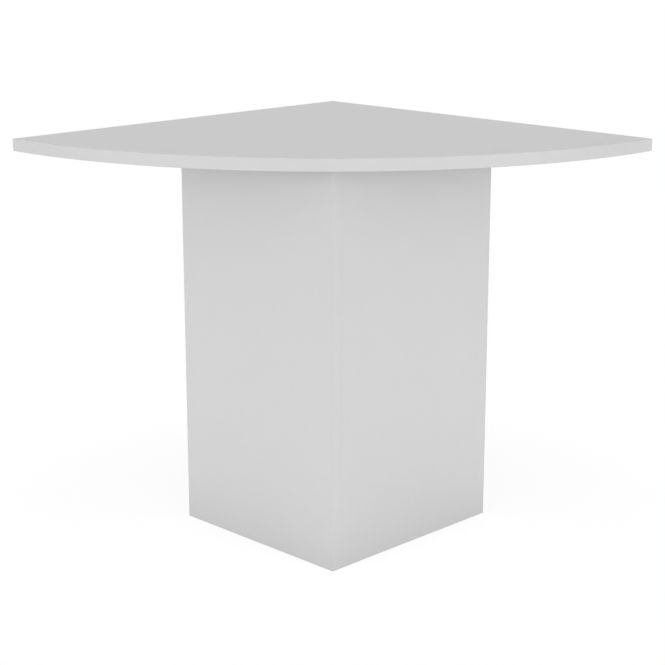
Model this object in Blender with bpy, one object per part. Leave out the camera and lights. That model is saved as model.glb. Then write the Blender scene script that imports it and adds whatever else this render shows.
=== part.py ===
"""Corner table: a quarter-circle top on a closed square column of four melamine-faced panels.

Metres, +Z up. The origin is on the floor, below the middle of the square that the top fits in.
The top's straight edges lie to the left (-X) and at the back (+Y), and its arc faces right and front.
Inside the column are the cam locks and dowels that hold it together, and a leveller in each corner.
"""

from math import acos, asin, cos, pi, radians, sin, sqrt

import bmesh
import bpy
from mathutils import Matrix, Vector

# The table as a whole
TABLE_HEIGHT = 0.740
TOP_RADIUS = 0.800
BOARD = 0.022
PANEL_WIDTH = 0.390
CORNER_OVERHANG = 0.039

# Edge bands: thick ones on the edges that hands touch, thin ones under the panels
EDGE_BAND = 0.002
FOOT_BAND = 0.001
BAND_ROUND_SHARE = 0.5

# What touching pieces keep between them, and how far a drill starts outside the wood
SEAT_GAP = 0.0003
OVERRUN = 0.001

# Cam bolt: a screw thread, a shank, and a ball head on a thin neck
CAM_SETBACK = 0.034
BOLT_NECK = 0.0034
HEAD_LIP = 0.0015
SHANK_STEP = 0.0018
SHANK_PLAY = 0.0005
BOLT_THREAD = 0.005
THREAD_TIP = 0.0008

# Cam: a round housing whose spiral chamber draws the bolt's head in
CAM_RISE = 0.0015
CAM_WALL = 0.0022
CAM_FLOOR = 0.0012
CAM_CHAMFER = 0.0004
CROSS_SPAN = 0.0072
CROSS_WIDTH = 0.0015
CROSS_DEPTH = 0.0045
SLOT_PAST_NECK = radians(42)

# Where the cams and dowels sit
LOWER_JOINT = 0.110
UPPER_JOINT = 0.110
DOWEL_DIAMETER = 0.008
DOWEL_LENGTH = 0.030
DOWEL_CHAMFER = 0.001
TOP_DOWEL_SPREAD_SHARE = 0.26

# Leveller pad: a disc with a socket that the stud's flange turns in
PAD_RECESS = 0.001
PAD_DIAMETER = 0.030
PAD_RIM = 0.0035
PAD_HEIGHT = 0.009
PAD_FLOOR = 0.0025
PAD_CHAMFER = 0.001
PAD_WALL = 0.003
PAD_CLEARANCE = 0.007

# Leveller stud: a flange, a hexagon collar for a spanner, and a socket for a key at the top
STUD_DIAMETER = 0.008
FLANGE_LIP = 0.002
FLANGE_THICKNESS = 0.002
COLLAR_EXTRA = 0.005
COLLAR_HEIGHT = 0.005
STUD_CHAMFER = 0.001
STUD_SPARE = 0.008
KEY_ACROSS = 0.004
KEY_DEPTH = 0.005

# Leveller bracket: a moulded corner with a threaded boss and two pegs
BRACKET_HEIGHT = 0.028
BRACKET_PLATE = 0.0035
BRACKET_TOE = 0.009
BOSS_WALL = 0.005
POCKET_ROOF = 0.003
PEG_DIAMETER = 0.010
PEG_LENGTH = 0.010
PEG_CHAMFER = 0.001

# How many sides round things have
ARC_STEPS = 48
CAM_SIDES = 16
SPIRAL_STEPS = 14
SLOT_STEPS = 7
BALL_STEPS = 3
BOLT_SIDES = 10
DOWEL_SIDES = 12
PEG_SIDES = 12
STUD_SIDES = 16
PAD_SIDES = 18
SMOOTH_ANGLE = radians(32)

X = Vector((1, 0, 0))
Y = Vector((0, 1, 0))
Z = Vector((0, 0, 1))

# The top's outline starts from the corner where its two straight edges meet
half = TOP_RADIUS / 2
top_low = TABLE_HEIGHT - BOARD
back_corner = Vector((-half, half, 0))

# The column's outer faces: its front corner lies on the top's diagonal, inside the arc
corner_distance = (TOP_RADIUS - CORNER_OVERHANG) / sqrt(2)
column_right = back_corner.x + corner_distance
column_front = back_corner.y - corner_distance
column_left = column_right - PANEL_WIDTH
column_back = column_front + BOARD + PANEL_WIDTH
panel_low = FOOT_BAND + SEAT_GAP
panel_high = top_low - SEAT_GAP

# The column's inner faces
inner_left = column_left + BOARD
inner_right = column_right - BOARD
inner_front = column_front + BOARD
inner_back = column_back - BOARD

# Fastener sizes that follow from each other
ball_radius = BOLT_NECK / 2 + HEAD_LIP
shank_radius = BOLT_NECK / 2 + SHANK_STEP
chamber_radius = ball_radius + SEAT_GAP
cam_radius = chamber_radius + CAM_RISE + CAM_WALL
cam_below_axis = chamber_radius + CAM_FLOOR
bolt_depth = BOARD / 2
dowel_depth = BOARD / 2

# Leveller heights, from the pad up, and the stud's distance from both panels
socket_floor = PAD_RECESS + PAD_FLOOR
flange_low = socket_floor + SEAT_GAP
flange_high = flange_low + FLANGE_THICKNESS
pad_high = PAD_RECESS + PAD_HEIGHT
collar_low = pad_high + SEAT_GAP
collar_high = collar_low + COLLAR_HEIGHT
bracket_low = collar_high + SEAT_GAP
bracket_high = bracket_low + BRACKET_HEIGHT
stud_high = bracket_high + STUD_SPARE
stud_inset = PAD_DIAMETER / 2 + PAD_CLEARANCE
stud_radius = STUD_DIAMETER / 2
flange_radius = stud_radius + FLANGE_LIP


def material(name, colour, roughness, metallic=0.0):
    """A plain finish: colour, roughness and metallic value."""
    made = bpy.data.materials.new(name)
    made.use_nodes = True
    shader = made.node_tree.nodes["Principled BSDF"]
    shader.inputs["Base Color"].default_value = (*colour, 1)
    shader.inputs["Roughness"].default_value = roughness
    shader.inputs["Metallic"].default_value = metallic
    return made


def arc(radius, first, last, steps, centre=(0, 0)):
    """Points on a circle, from one angle to another."""
    angles = [first + (last - first) * step / steps for step in range(steps + 1)]
    return [(centre[0] + radius * cos(a), centre[1] + radius * sin(a)) for a in angles]


def hexagon(across_flats):
    """Outline of a hexagon with the given width across its flats."""
    return arc(across_flats / sqrt(3), 0, 2 * pi, 6)[:-1]


def rod_profile(radius, low, high, chamfer):
    """Half section of a round rod with both ends broken."""
    waist = [(radius, low + chamfer), (radius, high - chamfer)]
    return [(0, low), (radius - chamfer, low), *waist, (radius - chamfer, high), (0, high)]


def turned(profile, sides):
    """A closed round body about Z, from a half section of (radius, height) that runs from axis to axis."""
    shape = bmesh.new()
    points = [shape.verts.new((radius, 0, height)) for radius, height in profile]
    edges = [shape.edges.new(pair) for pair in zip(points, points[1:])]
    geometry = points + edges
    bmesh.ops.spin(
        shape, geom=geometry, cent=(0, 0, 0), axis=Z, angle=2 * pi, steps=sides, use_merge=True
    )
    bmesh.ops.remove_doubles(shape, verts=shape.verts, dist=SEAT_GAP / 100)
    bmesh.ops.recalc_face_normals(shape, faces=shape.faces)
    return shape


def prism(outline, low, high):
    """A closed body that stands on a flat outline, from low to high."""
    shape = bmesh.new()
    base = shape.faces.new([shape.verts.new((x, y, low)) for x, y in outline])
    raised = bmesh.ops.extrude_face_region(shape, geom=[base])["geom"]
    points = [item for item in raised if isinstance(item, bmesh.types.BMVert)]
    bmesh.ops.translate(shape, verts=points, vec=Z * (high - low))
    bmesh.ops.recalc_face_normals(shape, faces=shape.faces)
    return shape


def aimed(shape, direction, origin):
    """Turns a body made along Z to point another way, and moves it to its origin."""
    turn = Z.rotation_difference(direction).to_matrix().to_4x4()
    bmesh.ops.transform(shape, matrix=Matrix.Translation(origin) @ turn, verts=shape.verts)
    return shape


def mesh_from(shape, name):
    """A mesh, shaded smooth across its shallow edges."""
    mesh = bpy.data.meshes.new(name)
    shape.to_mesh(mesh)
    shape.free()
    mesh.shade_smooth()
    mesh.set_sharp_from_angle(angle=SMOOTH_ANGLE)
    return mesh


def place(name, mesh, finish, frame, parent=None):
    """Adds a piece with its finish, at its place and turn."""
    piece = bpy.data.objects.new(name, mesh)
    bpy.context.scene.collection.objects.link(piece)
    if finish and not mesh.materials:
        mesh.materials.append(finish)
    piece.parent = parent
    piece.matrix_local = frame
    return piece


def empty(name, frame):
    """An empty that carries other pieces."""
    holder = bpy.data.objects.new(name, None)
    bpy.context.scene.collection.objects.link(holder)
    holder.matrix_local = frame
    return holder


def tool(name, shape):
    """A body that only cuts: shown as wire and left out of the model."""
    body = place(name, mesh_from(shape, name), None, Matrix())
    body.hide_render = True
    body.display_type = "WIRE"
    return body


def carve(piece, label, body, operation="DIFFERENCE"):
    """Cuts a piece with another body, or joins the two."""
    step = piece.modifiers.new(label, "BOOLEAN")
    step.operation = operation
    step.solver = "EXACT"
    step.object = body


def carved_mesh(name, blank, steps):
    """The mesh of a blank after each of its cuts and joins, for pieces that share it."""
    piece = place(name, mesh_from(blank, name), None, Matrix())
    bodies = []
    for label, shape, operation in steps:
        bodies.append(tool(f"{name}_{label}", shape))
        carve(piece, label, bodies[-1], operation)
    bpy.context.view_layer.update()
    finished = piece.evaluated_get(bpy.context.evaluated_depsgraph_get())
    mesh = bpy.data.meshes.new_from_object(finished)
    mesh.shade_smooth()
    mesh.set_sharp_from_angle(angle=SMOOTH_ANGLE)
    for thing in [piece, *bodies]:
        bpy.data.objects.remove(thing)
    mesh.name = name
    return mesh


def frame_of(x_axis, z_axis, origin):
    """The turn and place of a piece whose own X and Z axes point as given."""
    turn = Matrix((x_axis, z_axis.cross(x_axis), z_axis)).transposed().to_4x4()
    return Matrix.Translation(origin) @ turn


def block(name, low, high, finish):
    """A flat board between two corners, with its origin in its middle."""
    low, high = Vector(low), Vector(high)
    shape = bmesh.new()
    bmesh.ops.create_cube(shape, size=1)
    bmesh.ops.scale(shape, vec=high - low, verts=shape.verts)
    return place(name, mesh_from(shape, name), finish, Matrix.Translation((low + high) / 2))


def band_section(thickness, width):
    """Section of an edge band: its glued back at X = 0, and its two outer edges rounded over."""
    rounding = thickness * BAND_ROUND_SHARE
    outer = thickness - rounding
    lower = arc(rounding, -pi / 2, 0, 2, (outer, rounding))
    upper = arc(rounding, 0, pi / 2, 2, (outer, width - rounding))
    return [(0, 0), *lower, *upper, (0, width)]


def straight_band(name, start, outward, across, length, thickness):
    """A band on a straight edge of a board, from its inner corner and along outward x across."""
    shape = prism(band_section(thickness, BOARD), 0, length)
    frame = frame_of(outward, outward.cross(across), Vector(start))
    return place(name, mesh_from(shape, name), band_finish, frame)


# Each board keeps two drilling tools, one for holes in its faces and one for holes in its edges,
# because a cam's hole and its bolt's hole meet inside the board.
drilling = {}


def drill(board, side, mouth, into, radius, depth, sides):
    """Adds a hole to a board's tool, from just outside its mouth to its depth."""
    shape = drilling.setdefault((board, side), bmesh.new())
    turn = Z.rotation_difference(into).to_matrix().to_4x4()
    bmesh.ops.create_cone(
        shape,
        cap_ends=True,
        segments=sides,
        radius1=radius,
        radius2=radius,
        depth=depth + OVERRUN,
        matrix=Matrix.Translation(mouth + into * (depth - OVERRUN) / 2) @ turn,
    )


def bore(piece):
    """Runs a board's drilling tools through it."""
    for side in ("face", "edge"):
        if (piece.name, side) in drilling:
            name = f"{side}_holes"
            carve(piece, name, tool(f"{piece.name}_{name}", drilling[(piece.name, side)]))


def make_top():
    """A quarter circle of board, a band's thickness inside the finished outline on every edge."""
    inset = EDGE_BAND + SEAT_GAP
    radius = TOP_RADIUS - inset
    first = asin(inset / radius)
    rim = arc(radius, first - pi / 2, -first, ARC_STEPS)
    shape = prism([(inset, -inset), *rim], top_low, TABLE_HEIGHT)
    frame = Matrix.Translation(back_corner)
    return place("table_top", mesh_from(shape, "table_top"), melamine, frame)


def make_top_bands():
    """The two straight bands, and the arc's band, which covers their ends."""
    reach = TOP_RADIUS - EDGE_BAND - SEAT_GAP
    start = (-half + EDGE_BAND, half - reach, top_low)
    straight_band("top_band_left", start, -X, Z, reach - EDGE_BAND - SEAT_GAP, EDGE_BAND)
    start = (-half, half - EDGE_BAND, top_low)
    straight_band("top_band_back", start, Y, Z, reach, EDGE_BAND)
    shape = bmesh.new()
    section = band_section(EDGE_BAND, BOARD)
    inner = TOP_RADIUS - EDGE_BAND
    points = [shape.verts.new((0, -inner - depth, top_low + height)) for depth, height in section]
    end = shape.faces.new(points)
    geometry = [*points, *end.edges, end]
    bmesh.ops.spin(shape, geom=geometry, cent=(0, 0, 0), axis=Z, angle=pi / 2, steps=ARC_STEPS)
    bmesh.ops.recalc_face_normals(shape, faces=shape.faces)
    frame = Matrix.Translation(back_corner)
    place("top_band_arc", mesh_from(shape, "top_band_arc"), band_finish, frame)


def make_panels():
    """The four panels of the column. The front one covers the ends of the two side panels."""
    band = EDGE_BAND + SEAT_GAP
    side_front = inner_front + SEAT_GAP
    side_back = column_back - band
    front_low = (column_left + band, column_front, panel_low)
    left_low = (column_left, side_front, panel_low)
    right_low = (inner_right, side_front, panel_low)
    back_low = (inner_left + SEAT_GAP, inner_back, panel_low)
    return [
        block("panel_front", front_low, (column_right - band, inner_front, panel_high), melamine),
        block("panel_left", left_low, (inner_left, side_back, panel_high), melamine),
        block("panel_right", right_low, (column_right, side_back, panel_high), melamine),
        block("panel_back", back_low, (inner_right - SEAT_GAP, column_back, panel_high), melamine),
    ]


def make_panel_bands():
    """Thick bands on the upright edges that show, and thin ones under the panels between them."""
    upright = panel_high
    start = (column_left + EDGE_BAND, inner_front, 0)
    straight_band("band_front_panel_left", start, -X, -Y, upright, EDGE_BAND)
    start = (column_right - EDGE_BAND, column_front, 0)
    straight_band("band_front_panel_right", start, X, Y, upright, EDGE_BAND)
    start = (inner_left, column_back - EDGE_BAND, 0)
    straight_band("band_left_panel_back", start, Y, -X, upright, EDGE_BAND)
    start = (column_right, column_back - EDGE_BAND, 0)
    straight_band("band_right_panel_back", start, Y, -X, upright, EDGE_BAND)
    band = EDGE_BAND + SEAT_GAP
    start = (column_left + band, column_front, FOOT_BAND)
    straight_band("foot_band_front", start, -Z, Y, PANEL_WIDTH - 2 * band, FOOT_BAND)
    side_front = inner_front + SEAT_GAP
    side_length = column_back - band - side_front
    start = (inner_left, side_front, FOOT_BAND)
    straight_band("foot_band_left", start, -Z, -X, side_length, FOOT_BAND)
    start = (column_right, side_front, FOOT_BAND)
    straight_band("foot_band_right", start, -Z, -X, side_length, FOOT_BAND)
    start = (inner_left + SEAT_GAP, inner_back, FOOT_BAND)
    back_length = inner_right - inner_left - 2 * SEAT_GAP
    straight_band("foot_band_back", start, -Z, Y, back_length, FOOT_BAND)


def cam_mesh():
    """A cam in its locked turn. Its bolt comes from +X, and its driver's cross faces +Z.

    The ball head goes in at the mouth, which a locked cam has turned to the far side. The slot then
    takes the neck round, while the spiral chamber behind it narrows and pulls the head in.
    """
    high = BOARD / 2
    low = -cam_below_axis
    neck_room = BOLT_NECK / 2 + SEAT_GAP
    blank = turned(rod_profile(cam_radius, low, high, CAM_CHAMFER), CAM_SIDES)
    spiral = []
    for step in range(SPIRAL_STEPS + 1):
        angle = pi - 2 * pi * step / SPIRAL_STEPS
        reach = chamber_radius + CAM_RISE * max(0, angle) / pi
        spiral.append((reach * cos(angle), reach * sin(angle)))
    chamber = prism(spiral, -chamber_radius, chamber_radius)
    outside = cam_radius + OVERRUN
    slot = prism([(0, 0), *arc(outside, -SLOT_PAST_NECK, pi, SLOT_STEPS)], -neck_room, neck_room)
    mouth = aimed(turned(rod_profile(chamber_radius, 0, outside, 0), PEG_SIDES), -X, Vector())
    arm = CROSS_SPAN / 2
    wing = CROSS_WIDTH / 2
    quarter = [(arm, -wing), (arm, wing), (wing, wing)]
    cross = []
    for turn in range(4):
        a = turn * pi / 2
        cross += [(x * cos(a) - y * sin(a), x * sin(a) + y * cos(a)) for x, y in quarter]
    driver = prism(cross, high - CROSS_DEPTH, high + OVERRUN)
    cuts = {"chamber": chamber, "slot": slot, "mouth": mouth, "driver": driver}
    return carved_mesh("cam", blank, [(name, shape, "DIFFERENCE") for name, shape in cuts.items()])


def bolt_mesh():
    """A cam bolt along Z: its shoulder sits on the bored face at 0, and its ball ends in the cam."""
    thread = BOLT_THREAD / 2
    neck = BOLT_NECK / 2
    shank_end = CAM_SETBACK - cam_radius - 2 * SEAT_GAP - SHANK_STEP
    ball = [
        (reach, CAM_SETBACK + height)
        for reach, height in arc(ball_radius, -acos(neck / ball_radius), pi / 2, BALL_STEPS)
    ]
    profile = [
        (0, -bolt_depth),
        (thread - THREAD_TIP, -bolt_depth),
        (thread, THREAD_TIP - bolt_depth),
        (thread, SEAT_GAP),
        (shank_radius, SEAT_GAP),
        (shank_radius, shank_end),
        (neck, shank_end + SHANK_STEP),
        *ball,
    ]
    return mesh_from(turned(profile, BOLT_SIDES), "cam_bolt")


def dowel_mesh():
    """A dowel along Z: it goes half a board deep into the bored face at 0, and the rest stands out."""
    profile = rod_profile(DOWEL_DIAMETER / 2, -dowel_depth, DOWEL_LENGTH - dowel_depth, DOWEL_CHAMFER)
    return mesh_from(turned(profile, DOWEL_SIDES), "dowel")


def cam_joint(name, point, along, inward, bolt_board, cam_board):
    """A cam and its bolt. The point is where the bolt leaves the bored face, and along runs into the cam's board.

    The cam is let into the side of its board that looks inward, into the column.
    """
    cam_centre = point + along * CAM_SETBACK
    cam_face = cam_centre + inward * BOARD / 2
    cam_depth = BOARD / 2 + cam_below_axis + SEAT_GAP
    drill(bolt_board, "face", point, -along, BOLT_THREAD / 2 + SEAT_GAP, bolt_depth + SEAT_GAP, BOLT_SIDES)
    drill(cam_board, "edge", point, along, shank_radius + SHANK_PLAY, CAM_SETBACK, DOWEL_SIDES)
    drill(cam_board, "face", cam_face, -inward, cam_radius + SEAT_GAP, cam_depth, CAM_SIDES)
    place(f"cam_bolt_{name}", meshes["bolt"], steel, frame_of(inward, along, point))
    place(f"cam_{name}", meshes["cam"], zinc, frame_of(-along, inward, cam_centre))


def dowel_joint(name, point, along, face_board, edge_board):
    """A dowel across a joint, half a board deep in the face and the rest in the other board's edge."""
    radius = DOWEL_DIAMETER / 2 + SEAT_GAP
    drill(face_board, "face", point, -along, radius, dowel_depth + SEAT_GAP, DOWEL_SIDES)
    drill(edge_board, "edge", point, along, radius, DOWEL_LENGTH - dowel_depth + SEAT_GAP, DOWEL_SIDES)
    place(f"dowel_{name}", meshes["dowel"], beech, frame_of(along.orthogonal().normalized(), along, point))


def join_panels():
    """Two cams and a dowel in each upright joint."""
    middle = (panel_low + panel_high) / 2
    heights = {"lower": panel_low + LOWER_JOINT, "upper": panel_high - UPPER_JOINT}
    back_middle = inner_back + BOARD / 2
    for side, inner, inward in (("left", inner_left, X), ("right", inner_right, -X)):
        side_middle = inner - inward.x * BOARD / 2
        panel = f"panel_{side}"
        for level, height in heights.items():
            point = Vector((side_middle, inner_front, height))
            cam_joint(f"front_{side}_{level}", point, Y, inward, "panel_front", panel)
            point = Vector((inner, back_middle, height))
            cam_joint(f"back_{side}_{level}", point, inward, -Y, panel, "panel_back")
        point = Vector((side_middle, inner_front, middle))
        dowel_joint(f"front_{side}", point, Y, "panel_front", panel)
        dowel_joint(f"back_{side}", Vector((inner, back_middle, middle)), inward, panel, "panel_back")


def join_top():
    """A cam in the middle of each panel's top edge, and two dowels in the front and back panels."""
    centre_x = (column_left + column_right) / 2
    centre_y = (inner_front + column_back) / 2
    spread = X * PANEL_WIDTH * TOP_DOWEL_SPREAD_SHARE
    rows = {"front": (inner_front - BOARD / 2, Y), "back": (inner_back + BOARD / 2, -Y)}
    for side, (row, inward) in rows.items():
        point = Vector((centre_x, row, top_low))
        cam_joint(f"top_{side}", point, -Z, inward, "table_top", f"panel_{side}")
        dowel_joint(f"top_{side}_left", point - spread, -Z, "table_top", f"panel_{side}")
        dowel_joint(f"top_{side}_right", point + spread, -Z, "table_top", f"panel_{side}")
    columns = {"left": (inner_left - BOARD / 2, X), "right": (inner_right + BOARD / 2, -X)}
    for side, (line, inward) in columns.items():
        point = Vector((line, centre_y, top_low))
        cam_joint(f"top_{side}", point, -Z, inward, "table_top", f"panel_{side}")


def bracket_mesh():
    """A moulded corner with its two plates along +X and +Y, a boss for the stud, and a peg behind each plate."""
    back = SEAT_GAP
    plate = back + BRACKET_PLATE
    boss = stud_radius + BOSS_WALL
    edge = stud_inset + boss
    toe = edge + BRACKET_TOE
    nose = arc(boss, 0, pi / 2, 5, (stud_inset, stud_inset))
    outline = [(back, back), (toe, back), (toe, plate), (edge, plate), *nose, (plate, edge), (plate, toe)]
    blank = prism([*outline, (back, toe)], bracket_low, bracket_high)
    bore_low = bracket_low - OVERRUN
    bore_high = bracket_high + OVERRUN
    stud_hole = turned(rod_profile(stud_radius + SEAT_GAP, bore_low, bore_high, 0), STUD_SIDES)
    bmesh.ops.translate(stud_hole, verts=stud_hole.verts, vec=(X + Y) * stud_inset)
    far = stud_inset - boss
    corners = [(plate, plate), (far, plate), (far, far), (plate, far)]
    pocket = prism(corners, bore_low, bracket_high - POCKET_ROOF)
    steps = [("stud_hole", stud_hole, "DIFFERENCE"), ("pocket", pocket, "DIFFERENCE")]
    middle = (bracket_low + bracket_high) / 2
    rooted = back + BRACKET_PLATE / 2
    for label, direction, origin in (("peg_x", -Y, X * stud_inset), ("peg_y", -X, Y * stud_inset)):
        peg = turned(rod_profile(PEG_DIAMETER / 2, -rooted, PEG_LENGTH, PEG_CHAMFER), PEG_SIDES)
        steps.append((label, aimed(peg, direction, origin + Z * middle), "UNION"))
    return carved_mesh("leveller_bracket", blank, steps)


def stud_mesh():
    """A stud with a flange that stays in the pad, a hexagon collar above the pad, and a key's socket on top."""
    profile = [
        (0, flange_low),
        (flange_radius, flange_low),
        (flange_radius, flange_high),
        (stud_radius, flange_high),
        (stud_radius, stud_high - STUD_CHAMFER),
        (stud_radius - STUD_CHAMFER, stud_high),
        (0, stud_high),
    ]
    collar = prism(hexagon(STUD_DIAMETER + COLLAR_EXTRA), collar_low, collar_high)
    key = prism(hexagon(KEY_ACROSS), stud_high - KEY_DEPTH, stud_high + OVERRUN)
    steps = [("collar", collar, "UNION"), ("key", key, "DIFFERENCE")]
    return carved_mesh("leveller_stud", turned(profile, STUD_SIDES), steps)


def pad_mesh():
    """A pad whose socket holds the stud's flange under a lip, so that the stud turns and the pad stays still."""
    rim = PAD_DIAMETER / 2
    socket = flange_radius + SEAT_GAP
    lip = stud_radius + SEAT_GAP
    ceiling = flange_high + SEAT_GAP
    profile = [
        (0, PAD_RECESS),
        (rim - PAD_CHAMFER, PAD_RECESS),
        (rim, PAD_RECESS + PAD_CHAMFER),
        (rim, PAD_RECESS + PAD_RIM),
        (socket + PAD_WALL, pad_high),
        (lip, pad_high),
        (lip, ceiling),
        (socket, ceiling),
        (socket, socket_floor),
        (0, socket_floor),
    ]
    return mesh_from(turned(profile, PAD_SIDES), "leveller_pad")


def make_levellers():
    """One leveller in each inner corner: its empty stands in the corner, a quarter turn on from the last."""
    corners = [
        ("front_left", inner_left, inner_front, "panel_front", "panel_left"),
        ("front_right", inner_right, inner_front, "panel_right", "panel_front"),
        ("back_right", inner_right, inner_back, "panel_back", "panel_right"),
        ("back_left", inner_left, inner_back, "panel_left", "panel_back"),
    ]
    middle = (bracket_low + bracket_high) / 2
    stud_place = Matrix.Translation((X + Y) * stud_inset)
    for quarter, (corner, x, y, board_below, board_behind) in enumerate(corners):
        turn = Matrix.Rotation(quarter * pi / 2, 4, "Z")
        frame = Matrix.Translation((x, y, 0)) @ turn
        holder = empty(f"leveller_{corner}", frame)
        place(f"leveller_bracket_{corner}", meshes["bracket"], nylon, Matrix(), holder)
        place(f"leveller_stud_{corner}", meshes["stud"], steel, stud_place, holder)
        place(f"leveller_pad_{corner}", meshes["pad"], pad_plastic, stud_place, holder)
        for board, direction, along in ((board_below, -Y, X), (board_behind, -X, Y)):
            mouth = frame @ (along * stud_inset + Z * middle)
            into = turn @ direction
            drill(board, "face", mouth, into, PEG_DIAMETER / 2 + SEAT_GAP, PEG_LENGTH + SEAT_GAP, PEG_SIDES)


for leftover in list(bpy.data.objects):
    bpy.data.objects.remove(leftover)

melamine = material("white_melamine_board", (0.72, 0.72, 0.72), 0.42)
band_finish = material("white_edge_band", (0.72, 0.72, 0.72), 0.38)
zinc = material("die_cast_zinc", (0.52, 0.52, 0.53), 0.38, 1)
steel = material("zinc_plated_steel", (0.62, 0.63, 0.65), 0.3, 1)
beech = material("beech", (0.62, 0.44, 0.27), 0.7)
nylon = material("white_nylon", (0.7, 0.7, 0.68), 0.5)
pad_plastic = material("black_plastic", (0.03, 0.03, 0.032), 0.55)

meshes = {
    "cam": cam_mesh(),
    "bolt": bolt_mesh(),
    "dowel": dowel_mesh(),
    "bracket": bracket_mesh(),
    "stud": stud_mesh(),
    "pad": pad_mesh(),
}
boards = [make_top(), *make_panels()]
make_top_bands()
make_panel_bands()
join_panels()
join_top()
make_levellers()
for board in boards:
    bore(board)
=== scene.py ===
"""Corner table for a row of desks: a quarter-circle top on a closed column of four white boards.

Metres, +Z up, in the frame of the CAD. The sections follow the table as it is put together:
the room first, then the boards with their holes and bands, and last the fittings inside the column.
"""

from math import acos, atan2, cos, hypot, pi, radians, sin, sqrt

import bmesh
import bpy
from mathutils import Euler, Matrix, Vector


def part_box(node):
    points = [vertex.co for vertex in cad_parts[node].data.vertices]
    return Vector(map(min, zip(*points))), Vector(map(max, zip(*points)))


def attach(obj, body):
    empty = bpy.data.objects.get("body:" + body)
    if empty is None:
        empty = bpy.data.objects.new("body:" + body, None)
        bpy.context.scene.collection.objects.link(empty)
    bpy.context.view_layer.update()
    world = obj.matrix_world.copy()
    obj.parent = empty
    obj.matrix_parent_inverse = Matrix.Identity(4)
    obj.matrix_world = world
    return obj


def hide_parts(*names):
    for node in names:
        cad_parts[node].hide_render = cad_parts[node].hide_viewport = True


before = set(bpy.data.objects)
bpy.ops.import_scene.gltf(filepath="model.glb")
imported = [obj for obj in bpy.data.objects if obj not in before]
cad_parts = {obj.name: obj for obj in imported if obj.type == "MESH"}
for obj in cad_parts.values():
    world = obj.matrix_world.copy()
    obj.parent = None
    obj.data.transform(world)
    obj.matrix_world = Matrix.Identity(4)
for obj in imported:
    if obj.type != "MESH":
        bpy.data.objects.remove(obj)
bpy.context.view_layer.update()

# Camera. It stands on the table's diagonal, level with the eyes of someone who sits, and looks
# down at the corner of the column that points towards it.
CAMERA_REACH = 2.0795
CAMERA_HEIGHT = 1.152
LOOKING_DOWN = radians(14.607)
LENS = 90.31
SENSOR_WIDTH = 36
SIGHT = 100

lens = bpy.data.cameras.new("camera")
lens.lens = LENS
lens.sensor_width = SENSOR_WIDTH
lens.clip_end = SIGHT
camera = bpy.data.objects.new("camera", lens)
camera.location = (CAMERA_REACH, -CAMERA_REACH, CAMERA_HEIGHT)
camera.rotation_euler = Euler((pi / 2 - LOOKING_DOWN, 0, pi / 4))
bpy.context.scene.collection.objects.link(camera)
bpy.context.scene.camera = camera
bpy.context.scene.view_settings.view_transform = "Standard"


# Floor. A plain white studio floor that runs out of sight, with only a faint shadow where the
# panels stand on it. It throws back most light in a ring around the table: the colour that it
# throws light back with is darker close to the column, as painted shade for the shadow under the
# table top, and darker again far out. It is open under the panels and clear from below, so that a
# view from under the table shows the column's inside.
FLOOR_REACH = 20.0
SHADE_NEAR = 0.52
GLOW_NEAR = 0.64
SHADE_FROM = 0.35
SHADE_TO = 0.8
# Painted shade: the floor's colour for the light it throws back is darker close to the column, and darker
# again far out.
BOUNCE_PAINTED_SHADE = ((0.30, 0.47), (0.45, 0.98), (1.30, 0.98), (2.00, 0.47))
BOUNCE_REACH = 2.0
OPENING_INSET = 0.002


def node(tree, kind, inputs, **settings):
    """Adds a shader node. Each input is a plain value, or another node's output."""
    made = tree.nodes.new("ShaderNode" + kind)
    for setting, value in settings.items():
        setattr(made, setting, value)
    for socket, value in inputs.items():
        if isinstance(value, bpy.types.NodeSocket):
            tree.links.new(value, made.inputs[socket])
        else:
            made.inputs[socket].default_value = value
    return made


def seen_directly(tree):
    """1 for rays from the camera, from gloss and through glass, and 0 for the rays that carry light."""
    path = node(tree, "LightPath", {})
    seen = path.outputs["Is Camera Ray"]
    for other in ("Is Glossy Ray", "Is Transmission Ray"):
        seen = node(tree, "Math", {0: seen, 1: path.outputs[other]}, operation="MAXIMUM").outputs[0]
    return seen


room_floor = bpy.data.materials.new("studio_floor")
room_floor.use_nodes = True
tree = room_floor.node_tree
tree.nodes.clear()
foot_low = Vector((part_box("foot_band_left")[0].x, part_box("foot_band_front")[0].y, 0))
foot_high = Vector((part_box("foot_band_right")[1].x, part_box("foot_band_back")[1].y, 0))
foot_centre = (foot_low + foot_high) / 2
place = node(tree, "TexCoord", {}).outputs["Object"]
from_column = node(tree, "VectorMath", {0: place, 1: foot_centre}, operation="SUBTRACT").outputs[0]
reach = node(tree, "VectorMath", {0: from_column}, operation="LENGTH").outputs["Value"]
share = node(tree, "Math", {0: reach, 1: BOUNCE_REACH}, operation="DIVIDE").outputs[0]
# The ring of colour that the floor throws light back with, with painted shade close to the column.
bounce_painted_shade = node(tree, "ValToRGB", {"Fac": share})
stops = bounce_painted_shade.color_ramp.elements
stops[0].position = BOUNCE_PAINTED_SHADE[0][0] / BOUNCE_REACH
for distance, white in BOUNCE_PAINTED_SHADE[1:-1]:
    stops.new(distance / BOUNCE_REACH)
for stop, (distance, white) in zip(stops, BOUNCE_PAINTED_SHADE):
    stop.color = (white, white, white, 1)
carries = node(tree, "BsdfDiffuse", {"Color": bounce_painted_shade.outputs["Color"]})
shaded = {"Value": reach, 1: SHADE_FROM, 2: SHADE_TO, 3: SHADE_NEAR, 4: 0.0}
shade = node(tree, "MapRange", shaded, interpolation_type="SMOOTHSTEP").outputs["Result"]
white = {"Value": reach, 1: SHADE_FROM, 2: SHADE_TO, 3: GLOW_NEAR, 4: 1.0}
glow = node(tree, "MapRange", white, interpolation_type="SMOOTHSTEP").outputs["Result"]
lit = node(tree, "BsdfDiffuse", {"Color": shade})
glowing = node(tree, "Emission", {"Color": glow})
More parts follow.
